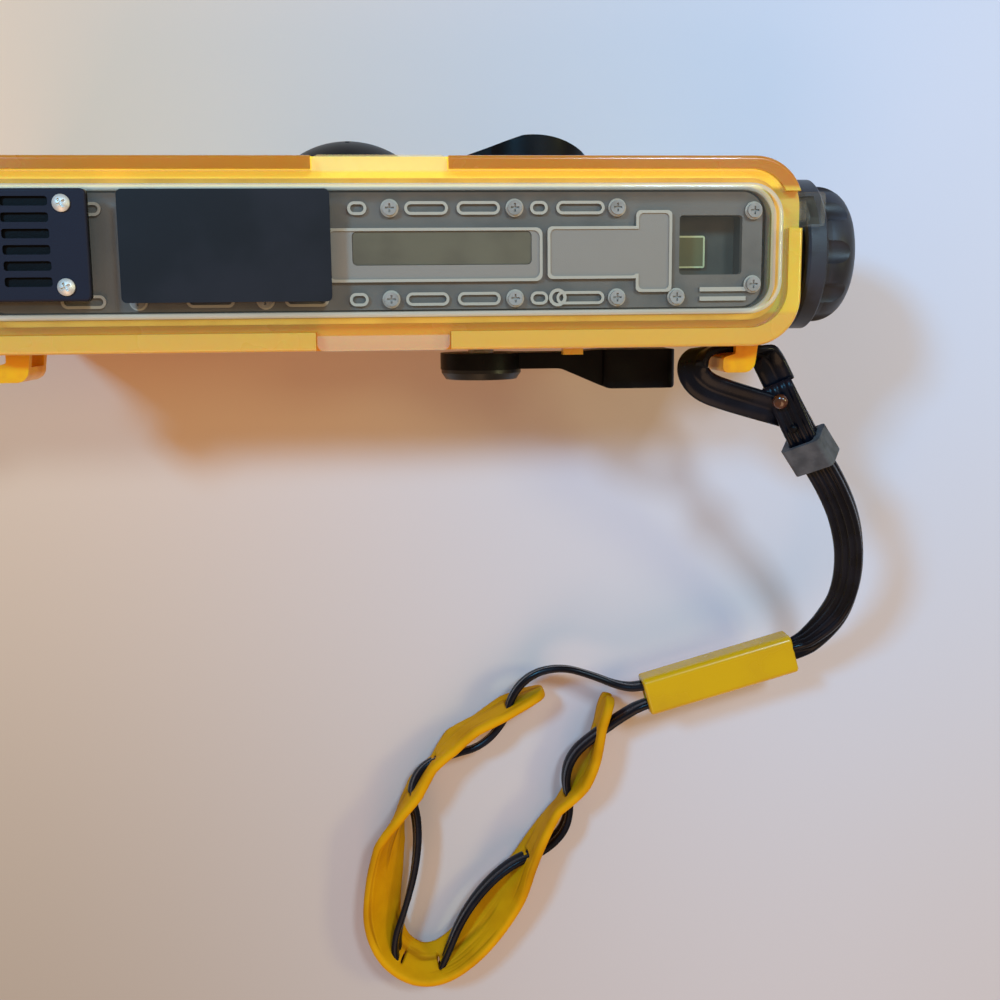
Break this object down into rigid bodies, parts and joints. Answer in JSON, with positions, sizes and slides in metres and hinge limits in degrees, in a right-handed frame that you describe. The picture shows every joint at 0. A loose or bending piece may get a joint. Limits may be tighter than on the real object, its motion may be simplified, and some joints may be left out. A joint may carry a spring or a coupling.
{
  "type": "underwater film camera",
  "caption": "Cartridge film camera in a watertight shell, lying on its front, with a clear hinged back, dials, film lever, lock knob and wrist strap.",
  "frame": {"origin": "centre of the front rim's face, which the camera lies on", "axes": "+X along the camera towards the lock knob, +Y towards the top controls, +Z from the front to the clear back"},
  "size_m": [0.2162, 0.2252, 0.0671],
  "materials": {
    "yellow_shell": "glossy moulded plastic",
    "amber_lug": "glossy moulded plastic",
    "clear_cover": "clear moulded plastic",
    "clear_pane": "clear flat plastic",
    "smoke_window": "smoked clear plastic",
    "grey_door": "fine matt moulding",
    "dark_plate": "matt foil, left blank",
    "black_plastic": "satin black moulding",
    "knob_plastic": "satin blue-black moulding",
    "cap_metal": "black satin paint",
    "black_chassis": "matt black moulding",
    "olive_rubber": "matt moulded rubber",
    "black_rubber": "matt moulded rubber",
    "grey_rubber": "matt moulded rubber",
    "black_vinyl": "glossy soft vinyl",
    "yellow_pad": "soft foamed vinyl",
    "yellow_sleeve": "glossy moulded plastic",
    "rivet_brass": "dull domed head",
    "bright_steel": "plated",
    "reflector_chrome": "bright",
    "tube_glass": "clear",
    "lens_glass": "polished",
    "battery_case": "plain printed sleeve, left blank",
    "can_aluminium": "plain can",
    "board": "laminated board",
    "white_gear": "natural acetal"
  },
  "bodies": {
    "housing": {"battery": "battery_case", "battery_contacts": "bright_steel", "camera_chassis": "black_chassis", "circuit_board": "board", "cover_gasket": "olive_rubber", "film_cartridge": "black_chassis", "finder_eyepiece": "lens_glass", "finder_objective": "lens_glass", "flash_capacitor": "can_aluminium", "flash_lens": "clear_pane", "flash_reflector": "reflector_chrome", "flash_tube": "tube_glass", "front_mask": "black_plastic", "front_window": "clear_pane", "hinge_bracket": "yellow_shell", "hinge_pin": "bright_steel", "housing_shell": "yellow_shell", "shaft_seals": "black_rubber", "shutter_plate": "black_chassis", "strap_band": "black_vinyl", "strap_keeper": "grey_rubber", "strap_loop": "black_vinyl", "strap_lug_left": "amber_lug", "strap_lug_right": "amber_lug", "strap_pin": "rivet_brass", "strap_rivet": "rivet_brass", "strap_sleeve": "yellow_sleeve", "wrist_cord": "black_vinyl", "wrist_pad": "yellow_pad"},
    "back_cover": {"cover_window": "clear_cover", "inner_door": "grey_door", "film_window": "smoke_window", "door_screws": "bright_steel", "cartridge_spring": "bright_steel", "hinge_leaf": "black_plastic", "hinge_screws": "bright_steel", "blank_plate": "dark_plate"},
    "lock_knob": {"lock_knob": "knob_plastic", "lock_shaft": "bright_steel", "lock_clip": "bright_steel"},
    "focus_dial": {"focus_dial": "black_plastic", "focus_shaft": "bright_steel", "focus_cam": "white_gear"},
    "lens_carrier": {"lens_barrel": "black_chassis", "lens_front_element": "lens_glass", "lens_rear_element": "lens_glass"},
    "shutter_release": {"shutter_release": "black_plastic", "release_stem": "bright_steel"},
    "advance_lever": {"advance_lever": "black_plastic", "lever_cap": "cap_metal", "advance_shaft": "bright_steel", "advance_gear": "white_gear"},
    "takeup": {"takeup_spindle": "white_gear", "takeup_gear": "white_gear"}
  },
  "joints": [
    {"name": "cover_hinge", "type": "hinge", "parent": "housing", "child": "back_cover", "pos_m": [-0.095, 0, 0.0625], "axis": [0, -1, 0], "range_deg": [0, 120]},
    {"name": "lock_turn", "type": "hinge", "parent": "housing", "child": "lock_knob", "pos_m": [0.0985, -0.0006, 0.0432], "axis": [1, 0, 0], "range_deg": [0, 90]},
    {"name": "focus_turn", "type": "hinge", "parent": "housing", "child": "focus_dial", "pos_m": [-0.0074, 0.0205, 0.032], "axis": [0, 1, 0], "range_deg": [0, 150]},
    {"name": "lens_slide", "type": "slide", "parent": "housing", "child": "lens_carrier", "axis": [0, 0, -1], "range_m": [0, 0.00097]},
    {"name": "release_press", "type": "slide", "parent": "housing", "child": "shutter_release", "axis": [0, -1, 0], "range_m": [0, 0.0015], "stiffness_N_per_m": 300, "springref_m": -0.002},
    {"name": "lever_turn", "type": "hinge", "parent": "housing", "child": "advance_lever", "pos_m": [0.0225, -0.024, 0.034], "axis": [0, 1, 0], "range_deg": [0, 38], "stiffness_Nm_per_rad": 0.02, "springref_deg": -22.92},
    {"name": "takeup_turn", "type": "hinge", "parent": "housing", "child": "takeup", "pos_m": [0.0523, -0.0149, 0.0412], "axis": [0, 1, 0], "range_deg": [-60, 0]}
  ],
  "couplings": [
    {"joint": "lens_slide", "follows": "focus_turn", "m_per_rad": 0.00036},
    {"joint": "takeup_turn", "follows": "lever_turn", "ratio": -1.5417}
  ]
}
